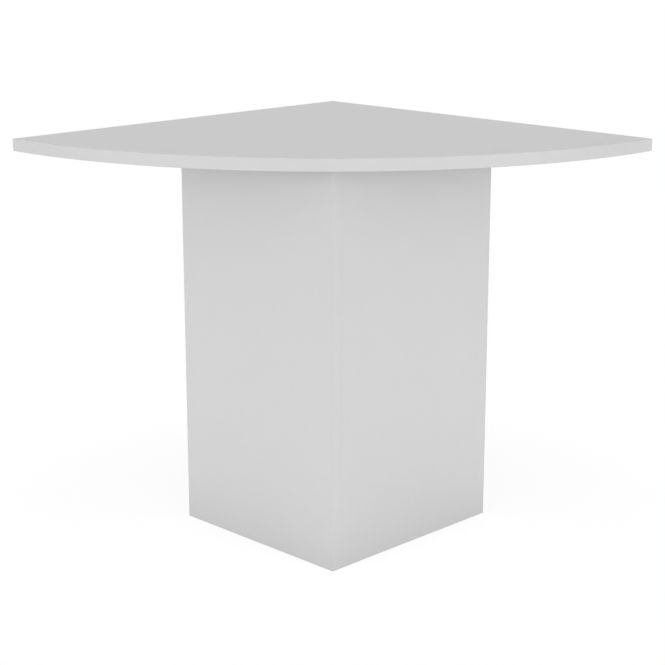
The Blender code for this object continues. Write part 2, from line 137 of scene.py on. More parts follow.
shows = node(tree, "AddShader", {0: glowing.outputs[0], 1: lit.outputs[0]})
above = node(tree, "MixShader", {0: seen_directly(tree), 1: carries.outputs[0], 2: shows.outputs[0]})
below = node(tree, "BsdfTransparent", {})
side = node(tree, "NewGeometry", {}).outputs["Backfacing"]
whole = node(tree, "MixShader", {0: side, 1: above.outputs[0], 2: below.outputs[0]})
node(tree, "OutputMaterial", {"Surface": whole.outputs[0]})

shape = bmesh.new()
opening = (foot_high - foot_low) / 2 - Vector((OPENING_INSET, OPENING_INSET, 0))
for centre, half in ((Vector((0, 0, 0)), Vector((FLOOR_REACH, FLOOR_REACH, 0))), (foot_centre, opening)):
    stretch = Matrix.Diagonal((half.x, half.y, 1, 1))
    bmesh.ops.create_grid(
        shape, x_segments=1, y_segments=1, size=1, matrix=Matrix.Translation(centre) @ stretch
    )
bmesh.ops.delete(shape, geom=shape.faces[:], context="FACES_ONLY")
bmesh.ops.bridge_loops(shape, edges=shape.edges[:])
bmesh.ops.recalc_face_normals(shape, faces=shape.faces)
shape.normal_update()
if shape.faces[0].normal.z < 0:
    bmesh.ops.reverse_faces(shape, faces=shape.faces[:])
mesh = bpy.data.meshes.new("floor")
shape.to_mesh(mesh)
shape.free()
mesh.materials.append(room_floor)
floor = bpy.data.objects.new("floor", mesh)
bpy.context.scene.collection.objects.link(floor)


# Light. A white tent all round, bright at the horizon and dim overhead, and five soft round panels:
# a weak one that faces the column's corner, two strong low ones and two weak high ones at its sides.
TENT_HORIZON = 1.33
TENT_OVERHEAD = 0.22
PANELS = (
    ("lamp_corner", 45, 8, 13),
    ("lamp_front", -5, 5, 37),
    ("lamp_right", 95, 5, 37),
    ("lamp_high_front", -20, 45, 9.3),
    ("lamp_high_right", 110, 45, 9.3),
)
PANEL_SIZE = 3.0
PANEL_REACH = 5.0
PANEL_AIM = Vector((0, 0, 0.4))

world = bpy.data.worlds.new("studio")
bpy.context.scene.world = world
world.use_nodes = True
tree = world.node_tree
tree.nodes.clear()
way = node(tree, "TexCoord", {}).outputs["Generated"]
rise = node(tree, "SeparateXYZ", {0: way}).outputs["Z"]
off_level = node(tree, "Math", {0: rise}, operation="ABSOLUTE").outputs[0]
tent = node(tree, "MapRange", {"Value": off_level, 1: 0.0, 2: 1.0, 3: TENT_HORIZON, 4: TENT_OVERHEAD})
carries = node(tree, "Background", {"Color": tent.outputs["Result"]})
shows = node(tree, "Background", {"Color": (1, 1, 1, 1)})
both = node(tree, "MixShader", {0: seen_directly(tree), 1: carries.outputs[0], 2: shows.outputs[0]})
node(tree, "OutputWorld", {"Surface": both.outputs[0]})

for name, azimuth, elevation, watts in PANELS:
    light = bpy.data.lights.new(name, "AREA")
    light.shape = "DISK"
    light.size = PANEL_SIZE
    light.energy = watts
    turn = radians(azimuth)
    lift = radians(elevation)
    outward = Vector((sin(turn) * cos(lift), -cos(turn) * cos(lift), sin(lift)))
    lamp = bpy.data.objects.new(name, light)
    lamp.rotation_mode = "QUATERNION"
    lamp.rotation_quaternion = outward.to_track_quat("Z", "Y")
    lamp.location = PANEL_AIM + outward * PANEL_REACH
    bpy.context.scene.collection.objects.link(lamp)


# Drilling plan. Each board is drilled before the table is put together: 15 mm holes for the cams,
# 8 mm ones for the dowels and the bolts' shanks, 5 mm ones for the bolts' threads, and 10 mm ones
# for the brackets' pegs.
BOARD = 0.022
CAM_SETBACK = 0.034
CAM_HOLE = 0.0075
CAM_HOLE_DEPTH = 0.016
SHANK_HOLE = 0.0040
THREAD_HOLE = 0.00256
THREAD_DEPTH = 0.0112
DOWEL_HOLE = 0.00406
DOWEL_LENGTH = 0.030
DOWEL_DEPTH = 0.011
DOWEL_ROOM = 0.0003
PEG_HOLE = 0.00506
PEG_DEPTH = 0.0103
BOLT_OUTREACH = 0.0372
BRACKET_FOOT = 0.0156
BRACKET_HEIGHT = 0.028
STUD_INSET = 0.022
DRILL_START = 0.001
HOLE_SIDES = 48
X = Vector((1, 0, 0))
Y = Vector((0, 1, 0))
Z = Vector((0, 0, 1))
INTO_COLUMN = {"front": Y, "back": -Y, "left": X, "right": -X}


def middle(name):
    """The middle of a CAD node's box."""
    low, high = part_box(name)
    return (low + high) / 2


def joint_ways(name):
    """The ways that a joint's bolt runs and its cam looks, and the boards that hold the two."""
    words = name.split("_")
    side = INTO_COLUMN[words[1]]
    if words[0] == "top":
        return -Z, side, "table_top", f"panel_{words[1]}"
    if words[0] == "front":
        return Y, side, "panel_front", f"panel_{words[1]}"
    return side, -Y, f"panel_{words[1]}", "panel_back"


def joint_names(kind):
    """The joints that the CAD has a piece of the given kind for, in the order of their names."""
    return [name[len(kind):] for name in sorted(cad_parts) if name.startswith(kind)]


def bolt_mouth(joint):
    """Where a joint's bolt leaves the board that it is screwed into."""
    return middle(f"cam_bolt_{joint}") - joint_ways(joint)[0] * (BOLT_OUTREACH - BOARD / 2) / 2


holes = {(board, side): [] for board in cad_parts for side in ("face", "edge")}
for joint in joint_names("cam_bolt_"):
    along, inward, bolt_board, cam_board = joint_ways(joint)
    mouth = bolt_mouth(joint)
    cam_face = mouth + along * CAM_SETBACK + inward * BOARD / 2
    holes[(bolt_board, "face")].append((mouth, -along, THREAD_HOLE, THREAD_DEPTH))
    holes[(cam_board, "edge")].append((mouth, along, SHANK_HOLE, CAM_SETBACK))
    holes[(cam_board, "face")].append((cam_face, -inward, CAM_HOLE, CAM_HOLE_DEPTH))
for joint in joint_names("dowel_"):
    along, inward, face_board, edge_board = joint_ways(joint)
    mouth = middle(f"dowel_{joint}") - along * (DOWEL_LENGTH / 2 - DOWEL_DEPTH)
    rest = DOWEL_LENGTH - DOWEL_DEPTH
    holes[(face_board, "face")].append((mouth, -along, DOWEL_HOLE, DOWEL_DEPTH + DOWEL_ROOM))
    holes[(edge_board, "edge")].append((mouth, along, DOWEL_HOLE, rest + DOWEL_ROOM))

# The column's inner corners, in turn, and the boards that a bracket's two plates lie on. Each bracket
# makes a quarter turn from the one before.
inner_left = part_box("panel_left")[1].x
inner_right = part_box("panel_right")[0].x
inner_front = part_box("panel_front")[1].y
inner_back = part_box("panel_back")[0].y
corners = {
    "front_left": Vector((inner_left, inner_front, 0)),
    "front_right": Vector((inner_right, inner_front, 0)),
    "back_right": Vector((inner_right, inner_back, 0)),
    "back_left": Vector((inner_left, inner_back, 0)),
}
plate_boards = (
    ("panel_front", "panel_left"),
    ("panel_right", "panel_front"),
    ("panel_back", "panel_right"),
    ("panel_left", "panel_back"),
)
turns = [Matrix.Rotation(quarter * pi / 2, 3, "Z") for quarter in range(4)]
for corner, turn, boards in zip(corners.values(), turns, plate_boards):
    rise = Z * (BRACKET_FOOT + BRACKET_HEIGHT / 2)
    for board, along, into in zip(boards, (X, Y), (-Y, -X)):
        mouth = corner + turn @ along * STUD_INSET + rise
        holes[(board, "face")].append((mouth, turn @ into, PEG_HOLE, PEG_DEPTH))


# Table top. A quarter circle sawn from 22 mm chipboard that is faced with white melamine paper on
# both sides. Its edges are raw chipboard, which the bands cover.
TOP_RADIUS = 0.800
EDGE_BAND = 0.002
GLUE_LINE = 0.000015
ARC_STEPS = 200
SMOOTH_ANGLE = radians(33)
MERGED = 0.000002
PAPERED_SIDE = 0.9
CLOUDY_LOW = 0.3
CLOUDY_HIGH = 0.7
SLOW_CLOUDS = 14.0
COARSER = 0.3
COARSE_SHARE = 0.4
PAPER_GRAIN = 900.0
PAPER_RELIEF = 0.00004
PAPER_SMOOTH = 0.39
PAPER_ROUGH = 0.49
PAPER_DARKER = (0.704, 0.704, 0.704)
PAPER_LIGHTER = (0.736, 0.736, 0.736)
PEBBLE_FOOT = 0.42
PEBBLE_CROWN = 0.58
PEBBLE_SHADE_SHARE = 0.5
CHIPS = 300.0
CHIP_FLATNESS = 2.4
CHIP_BENDS = 260.0
CHIP_BEND = 0.0016
CRUMBS = 1100.0
CRUMB_SHARE = 0.45
FIBRES = 1500.0
VEIN_SHARE = 0.5
GAP_WIDTH = 0.045
GAP_SHARE = 0.45
CHIP_RELIEF = 0.0004
CHIP_BROWN = (0.45, 0.31, 0.175)
CHIP_STRAW = (0.74, 0.585, 0.385)
CHIP_VEIN = (0.38, 0.25, 0.14)
CHIP_GAP = (0.17, 0.10, 0.05)


def effect(name, inputs, outputs):
    """An empty node group. Its inputs are places, or numbers where a value is given to start with."""
    group = bpy.data.node_groups.new(name, "ShaderNodeTree")
    for socket, start in inputs.items():
        kind = "NodeSocketVector" if start is None else "NodeSocketFloat"
        made = group.interface.new_socket(socket, in_out="INPUT", socket_type=kind)
        if start is not None:
            made.default_value = start
    for socket in outputs:
        group.interface.new_socket(socket, in_out="OUTPUT", socket_type="NodeSocketFloat")
    return group


def noise(tree, place, scale, detail=2.0, roughness=0.5):
    """A cloudy pattern, with its number of clouds per metre."""
    values = {"Vector": place, "Scale": scale, "Detail": detail, "Roughness": roughness}
    return node(tree, "TexNoise", values).outputs["Fac"]


def between(tree, value, low, high, first=CLOUDY_LOW, last=CLOUDY_HIGH):
    """Spreads a stretch of a pattern, as a rule the middle of a cloudy one, between two numbers."""
    stretch = {"Value": value, 1: first, 2: last, 3: low, 4: high}
    return node(tree, "MapRange", stretch).outputs["Result"]


def blended(tree, share, first, second):
    """A mix of two colours. The first can also be another node's output."""
    under = first if isinstance(first, bpy.types.NodeSocket) else (*first, 1)
    return node(tree, "Mix", {0: share, 6: under, 7: (*second, 1)}, data_type="RGBA").outputs[2]


def finish(name, roughness, metallic=0.0):
    """A material with its shader, and the piece's own coordinates in metres."""
    made = bpy.data.materials.new(name)
    made.use_nodes = True
    tree = made.node_tree
    shader = tree.nodes["Principled BSDF"]
    shader.inputs["Roughness"].default_value = roughness
    shader.inputs["Metallic"].default_value = metallic
    place = node(tree, "TexCoord", {}).outputs["Object"]
    return made, tree, shader, place


def relief_from(tree, shader, height, depth, strength=1.0):
    """Lets a pattern stand out of the surface by its real depth."""
    bump = node(tree, "Bump", {"Height": height, "Distance": depth, "Strength": strength})
    tree.links.new(bump.outputs["Normal"], shader.inputs["Normal"])


# Pressed relief: the small pebbles that a press plate or a mould leaves, and a slow cloudiness.
pressed = effect("pressed_relief", {"Place": None, "Grain": 1000.0}, ("Height", "Clouds"))
start = pressed.nodes.new("NodeGroupInput")
fine = noise(pressed, start.outputs["Place"], start.outputs["Grain"], detail=3.0)
coarse_grain = node(pressed, "Math", {0: start.outputs["Grain"], 1: COARSER}, operation="MULTIPLY")
coarse = noise(pressed, start.outputs["Place"], coarse_grain.outputs[0])
both = node(pressed, "Mix", {0: COARSE_SHARE, 2: fine, 3: coarse})
clouds = noise(pressed, start.outputs["Place"], SLOW_CLOUDS, detail=4.0, roughness=0.6)
end = pressed.nodes.new("NodeGroupOutput")
pressed.links.new(both.outputs[0], end.inputs["Height"])
pressed.links.new(clouds, end.inputs["Clouds"])


def pressed_in(tree, place, grain):
    """The pressed relief's height and clouds, for a material's own grain."""
    group = tree.nodes.new("ShaderNodeGroup")
    group.node_tree = pressed
    tree.links.new(place, group.inputs["Place"])
    group.inputs["Grain"].default_value = grain
    return group.outputs["Height"], group.outputs["Clouds"]


melamine, tree, shader, place = finish("white_melamine_paper", roughness=0.44)
height, clouds = pressed_in(tree, place, PAPER_GRAIN)
pebbles = between(tree, height, 0.0, 1.0, PEBBLE_FOOT, PEBBLE_CROWN)
# Painted shade: the paper's white is a little darker in the pits of the pressed pebbles, mixed half and
# half with its random cloudy tone.
both = node(tree, "Mix", {0: PEBBLE_SHADE_SHARE, 2: clouds, 3: pebbles}).outputs[0]
white = blended(tree, both, PAPER_DARKER, PAPER_LIGHTER)
tree.links.new(white, shader.inputs["Base Color"])
tree.links.new(between(tree, pebbles, PAPER_SMOOTH, PAPER_ROUGH), shader.inputs["Roughness"])
relief_from(tree, shader, pebbles, PAPER_RELIEF)


def raw_chipboard(name, flat_way):
    """Sawn chipboard: chips of every shade from straw to brown that lie flat in the board, with fine dust
    and dark gaps between them."""
    made, tree, shader, place = finish(name, roughness=0.85)
    bends = {"Vector": place, "Scale": CHIP_BENDS, "Detail": 3.0}
    wander = node(tree, "TexNoise", bends).outputs["Color"]
    moved = node(tree, "VectorMath", {0: wander, "Scale": CHIP_BEND}, operation="SCALE").outputs[0]
    bent = node(tree, "VectorMath", {0: place, 1: moved}, operation="ADD").outputs[0]
    laid = node(tree, "Mapping", {"Vector": bent, "Scale": flat_way}).outputs[0]
    chips = node(tree, "TexVoronoi", {"Vector": laid, "Scale": CHIPS})
    crumbs = node(tree, "TexVoronoi", {"Vector": laid, "Scale": CRUMBS})
    shade = node(tree, "SeparateColor", {0: chips.outputs["Color"]}).outputs[0]
    fleck = node(tree, "SeparateColor", {0: crumbs.outputs["Color"]}).outputs[1]
    tone = node(tree, "Mix", {0: CRUMB_SHARE, 2: shade, 3: fleck}).outputs[0]
    fibres = noise(tree, laid, FIBRES, detail=4.0, roughness=0.65)
    wood = blended(tree, tone, CHIP_BROWN, CHIP_STRAW)
    veined = blended(tree, between(tree, fibres, VEIN_SHARE, 0.0), wood, CHIP_VEIN)
    edges = node(tree, "TexVoronoi", {"Vector": laid, "Scale": CHIPS}, feature="DISTANCE_TO_EDGE")
    gap = between(tree, edges.outputs["Distance"], GAP_SHARE, 0.0, 0.0, GAP_WIDTH)
    tree.links.new(blended(tree, gap, veined, CHIP_GAP), shader.inputs["Base Color"])
    rough = node(tree, "Mix", {0: gap, 2: fibres, 3: 0.0}).outputs[0]
    relief_from(tree, shader, rough, CHIP_RELIEF)
    return made


chipboards = {
    "table_top": raw_chipboard("chipboard_lying", (1.0, 1.0, CHIP_FLATNESS)),
    "panel_front": raw_chipboard("chipboard_across", (1.0, CHIP_FLATNESS, 1.0)),
    "panel_left": raw_chipboard("chipboard_along", (CHIP_FLATNESS, 1.0, 1.0)),
}
chipboards["panel_back"] = chipboards["panel_front"]
chipboards["panel_right"] = chipboards["panel_left"]


def made_from(shape, name, *finishes):
    """An object with a mesh, shaded smooth across its shallow edges."""
    mesh = bpy.data.meshes.new(name)
    shape.to_mesh(mesh)
    shape.free()
    mesh.shade_smooth()
    mesh.set_sharp_from_angle(angle=SMOOTH_ANGLE)
    for one in finishes:
        mesh.materials.append(one)
    piece = bpy.data.objects.new(name, mesh)
    bpy.context.scene.collection.objects.link(piece)
    return piece


def cut(piece, shape, operation="DIFFERENCE", inside=None):
    """Cuts a piece with another body, or joins the two, and keeps the result as its mesh."""
    body = made_from(shape, "tool", *([inside] if inside else []))
    step = piece.modifiers.new("cut", "BOOLEAN")
    step.operation = operation
    step.solver = "EXACT"
    step.material_mode = "TRANSFER"
    step.object = body
    bpy.context.view_layer.update()
    finished = piece.evaluated_get(bpy.context.evaluated_depsgraph_get())
    mesh = bpy.data.meshes.new_from_object(finished)
    clean = bmesh.new()
    clean.from_mesh(mesh)
    bmesh.ops.remove_doubles(clean, verts=clean.verts, dist=MERGED)
    clean.to_mesh(mesh)
    clean.free()
    mesh.shade_smooth()
    mesh.set_sharp_from_angle(angle=SMOOTH_ANGLE)
    piece.modifiers.clear()
    piece.data = mesh
    mesh.name = piece.name
    bpy.data.objects.remove(body)


def drilled(piece, board):
    """Drills a board's holes: the ones in its faces, then the ones in its edges, which meet them."""
    for side in ("face", "edge"):
        if not holes[(board, side)]:
            continue
        drill = bmesh.new()
        for mouth, into, radius, depth in holes[(board, side)]:
            turn = Z.rotation_difference(into).to_matrix().to_4x4()
            bmesh.ops.create_cone(
                drill,
                cap_ends=True,
                segments=HOLE_SIDES,
                radius1=radius,
                radius2=radius,
                depth=depth + DRILL_START,
                matrix=Matrix.Translation(mouth + into * (depth - DRILL_START) / 2) @ turn,
            )
        cut(piece, drill, inside=chipboards[board])


def fitted(piece, slot, *nodes, body="carcass"):
    """Puts a finished piece in the place of its CAD node, on the body that carries it."""
    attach(piece, body)
    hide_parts(*nodes)


def raised(shape, rise):
    """Raises a flat outline into a body that stands on it."""
    extruded = bmesh.ops.extrude_face_region(shape, geom=shape.faces[:])["geom"]
    points = [item for item in extruded if isinstance(item, bmesh.types.BMVert)]
    bmesh.ops.translate(shape, verts=points, vec=rise)
    bmesh.ops.recalc_face_normals(shape, faces=shape.faces)


def papered(shape, facing):
    """Marks a board's two papered faces, which look along the given way, and its raw edges."""
    shape.normal_update()
    for face in shape.faces:
        face.material_index = 0 if abs(face.normal.dot(facing)) > PAPERED_SIDE else 1


top_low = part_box("table_top")[0].z
top_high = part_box("table_top")[1].z
back_corner = Vector((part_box("top_band_left")[0].x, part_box("top_band_back")[1].y, 0))
inset = EDGE_BAND + GLUE_LINE
shape = bmesh.new()
bmesh.ops.create_circle(
    shape,
    cap_ends=True,
    radius=TOP_RADIUS - inset,
    segments=4 * ARC_STEPS,
    matrix=Matrix.Translation(back_corner + Z * top_low),
)
for outward in (-X, Y):
    everything = shape.verts[:] + shape.edges[:] + shape.faces[:]
    line = back_corner - outward * inset
    bmesh.ops.bisect_plane(shape, geom=everything, plane_co=line, plane_no=outward, clear_outer=True)
raised(shape, Z * (top_high - top_low))
papered(shape, Z)
top = made_from(shape, "top_board", melamine, chipboards["table_top"])
drilled(top, "table_top")
fitted(top, "white_melamine_board", "table_top")


# Edge bands of the top. 2 mm plastic, glued on hot and milled flush, with both outer edges rounded.
# The arc's band goes on last and covers the ends of the straight ones.
TOP_ROUNDING = 0.001
BAND_GRAIN = 1700.0
BAND_RELIEF = 0.00003
BAND_LINES = 2500.0
LINE_SHARE = 0.5
BAND_SMOOTH = 0.34
BAND_ROUGH = 0.43
# The level bands' white is painted a shade darker than the upright bands' white, which is the plastic's
# own: painted shade on the table's rim.
LEVEL_WHITES_PAINTED_SHADE = (0.703, 0.717)
ALONG_LEVEL = (0.02, 0.02, 1.0)
ALONG_UPRIGHT = (1.0, 1.0, 0.02)


def band_finish(name, stretch, darker, lighter):
    """White plastic band with faint lines along it, where the scraper has run."""
    made, tree, shader, place = finish(name, roughness=0.4)
    height, clouds = pressed_in(tree, place, BAND_GRAIN)
    drawn = node(tree, "Mapping", {"Vector": place, "Scale": stretch})
    lines = noise(tree, drawn.outputs[0], BAND_LINES)
    white = blended(tree, between(tree, clouds, 0.0, 1.0), (darker,) * 3, (lighter,) * 3)
    tree.links.new(white, shader.inputs["Base Color"])
    tree.links.new(between(tree, lines, BAND_SMOOTH, BAND_ROUGH), shader.inputs["Roughness"])
    both = node(tree, "Mix", {0: LINE_SHARE, 2: height, 3: lines})
    relief_from(tree, shader, both.outputs[0], BAND_RELIEF)
    return made


def band_section(thickness, rounding):
    """Section of a band: its glued back at X = 0, its width along Y, and its outer edges rounded over."""
    shape = bmesh.new()
    points = ((0, 0, 0), (thickness, 0, 0), (thickness, BOARD, 0), (0, BOARD, 0))
    ends = [shape.verts.new(point) for point in points]
    shape.faces.new(ends)
    bmesh.ops.bevel(
        shape,
        geom=ends[1:3],
        offset=rounding,
        affect="VERTICES",
        segments=6,
        profile=0.5,
        material=-1,
    )
    return shape


def kept_flat(piece):
    """Shades a band's wide sides flat, right up to its small roundings."""
    piece.modifiers.new("flat_sides", "WEIGHTED_NORMAL").keep_sharp = True
    return piece


def straight_band(name, start, outward, across, length, thickness, rounding, made):
    """A band from its inner corner, that runs along outward x across."""
    shape = band_section(thickness, rounding)
    raised(shape, Z * length)
    along = outward.cross(across)
    turn = Matrix((outward, across, along)).transposed().to_4x4()
    bmesh.ops.transform(shape, matrix=Matrix.Translation(start) @ turn, verts=shape.verts)
    return kept_flat(made_from(shape, name, made))


# The same plastic as the upright bands, with its white painted a shade darker as shade on the rim.
level_band_painted_shade = band_finish("white_band_level_painted_shade", ALONG_LEVEL, *LEVEL_WHITES_PAINTED_SHADE)
reach = TOP_RADIUS - inset
start = Vector((back_corner.x + EDGE_BAND, back_corner.y - reach, top_low))
left_band = straight_band(
    "band_left_of_top", start, -X, Z, reach - inset, EDGE_BAND, TOP_ROUNDING, level_band_painted_shade
)
fitted(left_band, "white_edge_band", "top_band_left")
start = Vector((back_corner.x, back_corner.y - EDGE_BAND, top_low))
back_band = straight_band("band_back_of_top", start, Y, Z, reach, EDGE_BAND, TOP_ROUNDING, level_band_painted_shade)
fitted(back_band, "white_edge_band", "top_band_back")

shape = band_section(EDGE_BAND, TOP_ROUNDING)
stand = Matrix((-Y, Z, -X)).transposed().to_4x4()
stand = Matrix.Translation(back_corner + Vector((0, EDGE_BAND - TOP_RADIUS, top_low))) @ stand
bmesh.ops.transform(shape, matrix=stand, verts=shape.verts)
everything = shape.verts[:] + shape.edges[:] + shape.faces[:]
bmesh.ops.spin(shape, geom=everything, cent=back_corner, axis=Z, angle=pi / 2, steps=ARC_STEPS)
bmesh.ops.recalc_face_normals(shape, faces=shape.faces)
arc_band = kept_flat(made_from(shape, "band_on_the_arc", level_band_painted_shade))
fitted(arc_band, "white_edge_band", "top_band_arc")


# Column. Four panels of the same board. The front panel covers the ends of the two side panels,
# and the back panel is set in between them. Their upper and lower edges are raw or banded.
DRY_JOINT = 0.00003
CAD_GLUE_LINE = 0.0003

panel_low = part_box("panel_front")[0].z - CAD_GLUE_LINE + GLUE_LINE
panel_high = top_low - DRY_JOINT
side_front = inner_front + DRY_JOINT
side_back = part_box("band_left_panel_back")[1].y - inset
column_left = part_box("panel_left")[0].x
column_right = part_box("panel_right")[1].x
column_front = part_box("panel_front")[0].y
column_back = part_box("panel_back")[1].y
outlines = {
    "front": (column_left + inset, column_right - inset, column_front, inner_front),
    "left": (column_left, inner_left, side_front, side_back),
    "right": (inner_right, column_right, side_front, side_back),
    "back": (inner_left + DRY_JOINT, inner_right - DRY_JOINT, inner_back, column_back),
}
for side, (left, right, front, back) in outlines.items():
    shape = bmesh.new()
    size = Vector((right - left, back - front, panel_high - panel_low))
    centre = Vector(((left + right) / 2, (front + back) / 2, (panel_low + panel_high) / 2))
    matrix = Matrix.Translation(centre) @ Matrix.Diagonal((*size, 1))
    bmesh.ops.create_cube(shape, size=1, matrix=matrix)
    papered(shape, INTO_COLUMN[side])
    panel = made_from(shape, f"board_{side}", melamine, chipboards[f"panel_{side}"])
    drilled(panel, f"panel_{side}")
    fitted(panel, "white_melamine_board", f"panel_{side}")


# Edge bands of the column. The same 2 mm plastic stands on the four upright edges that show, down to
# the floor. A thin one lies under each panel between them, and keeps the floor's damp out of the board.
FOOT_BAND = 0.001
COLUMN_ROUNDING = 0.00012
FOOT_ROUNDING = 0.0004
UPRIGHT_WHITES = (0.713, 0.727)

upright_band = band_finish("white_band_upright", ALONG_UPRIGHT, *UPRIGHT_WHITES)
uprights = (
    ("front_panel_left", (column_left + EDGE_BAND, inner_front, 0), -X, -Y),
    ("front_panel_right", (column_right - EDGE_BAND, column_front, 0), X, Y),
    ("left_panel_back", (inner_left, column_back - EDGE_BAND, 0), Y, -X),
    ("right_panel_back", (column_right, column_back - EDGE_BAND, 0), Y, -X),
)
for name, start, outward, across in uprights:
    sizes = (panel_high, EDGE_BAND, COLUMN_ROUNDING)
    made = straight_band(f"upright_{name}", Vector(start), outward, across, *sizes, upright_band)
    fitted(made, "white_edge_band", f"band_{name}")

front_length = column_right - column_left - 2 * inset
side_length = side_back - side_front
back_length = inner_right - inner_left - 2 * DRY_JOINT
feet = (
    ("front", (column_left + inset, column_front, FOOT_BAND), Y, front_length),
    ("left", (inner_left, side_front, FOOT_BAND), -X, side_length),
    ("right", (column_right, side_front, FOOT_BAND), -X, side_length),
    ("back", (inner_left + DRY_JOINT, inner_back, FOOT_BAND), Y, back_length),
)
for side, start, across, length in feet:
    sizes = (length, FOOT_BAND, FOOT_ROUNDING)
    made = straight_band(f"foot_{side}", Vector(start), -Z, across, *sizes, level_band_painted_shade)
    fitted(made, "white_edge_band", f"foot_band_{side}")


# Cams. Die-cast zinc drums, let into the panels' inner sides. A driver in the cross turns one half
# round, and its spiral chamber draws the bolt's ball head in. The arrow shows where the mouth is, which
# a locked cam has turned away from the bolt.
CAM_RADIUS = 0.0072
CHAMBER_RADIUS = 0.0035
CAM_RISE = 0.0015
CAM_BELOW_AXIS = 0.0047
CAM_CHAMFER = 0.0004
CAM_DISH = 0.0004
CAM_RIM = 0.0063
CAM_HUB = 0.0040
CAM_SIDES = 64
ROUND_SIDES = 32
NECK_ROOM = 0.002
SLOT_PAST_NECK = radians(42)
MOUTH_RADIUS = 0.0034
CAM_CROSS = (0.0072, 0.0015, 0.0045)
CROSS_TAPER = 0.72
ARROW_RADIUS = 0.0010
ARROW_TOP = 0.0008
ARROW_INWARD = 0.0002
ARROW_SUNK = 0.0001
CUT_START = 0.001
ZINC_DULL = (0.46, 0.46, 0.47)
ZINC_BRIGHT = (0.56, 0.56, 0.57)
METAL_CLOUDS = 180.0
STREAKED = (1.0, 1.0, 0.15)


def turned(profile, sides):
    """A closed round body about Z, from a half section of (radius, height), from axis to axis."""
    shape = bmesh.new()
    points = [shape.verts.new((radius, 0, height)) for radius, height in profile]
    edges = [shape.edges.new(pair) for pair in zip(points, points[1:])]
    bmesh.ops.spin(
        shape, geom=points + edges, cent=(0, 0, 0), axis=Z, angle=2 * pi, steps=sides, use_merge=True
    )
    bmesh.ops.remove_doubles(shape, verts=shape.verts, dist=MERGED)
    bmesh.ops.recalc_face_normals(shape, faces=shape.faces)
    return shape


def standing(outline, low, high):
    """A body that stands on a flat outline, from low to high."""
    shape = bmesh.new()
    shape.faces.new([shape.verts.new((x, y, low)) for x, y in outline])
    raised(shape, Z * (high - low))
    return shape


def on_circle(radius, first, last, steps, centre=(0, 0)):
    """Points on a circle, from one angle to another."""
    angles = [first + (last - first) * step / steps for step in range(steps + 1)]
    return [(centre[0] + radius * cos(a), centre[1] + radius * sin(a)) for a in angles]


def cut_cross(piece, span, width, depth, face):
    """Sinks the two arms of a cross one after the other."""
    for arm in range(2):
        shape = bmesh.new()
        turn = Matrix.Rotation(arm * pi / 2, 4, "Z")
        middle_height = face - (depth - CUT_START) / 2
        size = Matrix.Diagonal((span, width, depth + CUT_START, 1))
        bmesh.ops.create_cube(shape, size=1, matrix=Matrix.Translation(Z * middle_height) @ turn @ size)
        lower = [vert for vert in shape.verts if vert.co.z < middle_height]
        bmesh.ops.scale(shape, vec=(CROSS_TAPER, CROSS_TAPER, 1), verts=lower)
        cut(piece, shape)


# Metal marks: the cloudiness of cast or plated metal, and the fine streaks left by tools and tumbling.
marks = effect("metal_marks", {"Place": None, "Grain": 600.0}, ("Streaks", "Clouds"))
start = marks.nodes.new("NodeGroupInput")
pulled = node(marks, "Mapping", {"Vector": start.outputs["Place"], "Scale": STREAKED})
streaks = noise(marks, pulled.outputs[0], start.outputs["Grain"], detail=4.0, roughness=0.6)
clouds = noise(marks, start.outputs["Place"], METAL_CLOUDS, detail=3.0)
end = marks.nodes.new("NodeGroupOutput")
marks.links.new(streaks, end.inputs["Streaks"])
marks.links.new(clouds, end.inputs["Clouds"])


def metal_finish(name, dull, bright, smooth, rough, grain, depth):
    """A metal that shades between two colours and two roughnesses, with a fine relief."""
    made, tree, shader, place = finish(name, rough, metallic=1.0)
    group = tree.nodes.new("ShaderNodeGroup")
    group.node_tree = marks
    tree.links.new(place, group.inputs["Place"])
    group.inputs["Grain"].default_value = grain
    share = between(tree, group.outputs["Clouds"], 0.0, 1.0)
    tree.links.new(blended(tree, share, dull, bright), shader.inputs["Base Color"])
    tree.links.new(between(tree, group.outputs["Streaks"], smooth, rough), shader.inputs["Roughness"])
    relief_from(tree, shader, group.outputs["Streaks"], depth, strength=0.6)
    return made


zinc = metal_finish(
    "die_cast_zinc", ZINC_DULL, ZINC_BRIGHT, smooth=0.34, rough=0.5, grain=900.0, depth=0.00003
)

face = BOARD / 2
drum = turned(
    [
        (0, -CAM_BELOW_AXIS),
        (CAM_RADIUS - CAM_CHAMFER, -CAM_BELOW_AXIS),
        (CAM_RADIUS, -CAM_BELOW_AXIS + CAM_CHAMFER),
        (CAM_RADIUS, face - CAM_CHAMFER),
        (CAM_RADIUS - CAM_CHAMFER, face),
        (CAM_RIM, face),
        (CAM_RIM - CAM_DISH / 2, face - CAM_DISH),
        (CAM_HUB + CAM_DISH / 2, face - CAM_DISH),
        (CAM_HUB, face),
        (0, face),
    ],
    CAM_SIDES,
)
cam = made_from(drum, "cam", zinc)
chamber = bmesh.new()
bmesh.ops.create_circle(chamber, cap_ends=True, radius=CHAMBER_RADIUS, segments=CAM_SIDES)
for vert in chamber.verts:
    share = max(0.0, atan2(vert.co.y, vert.co.x)) / pi
    vert.co *= 1 + share * CAM_RISE / CHAMBER_RADIUS
bmesh.ops.translate(chamber, verts=chamber.verts, vec=-Z * CHAMBER_RADIUS)
raised(chamber, Z * 2 * CHAMBER_RADIUS)
cut(cam, chamber)
outside = CAM_RADIUS + CUT_START
slot_outline = [(0, 0), *on_circle(outside, -SLOT_PAST_NECK, pi, ROUND_SIDES)]
cut(cam, standing(slot_outline, -NECK_ROOM, NECK_ROOM))
mouth = bmesh.new()
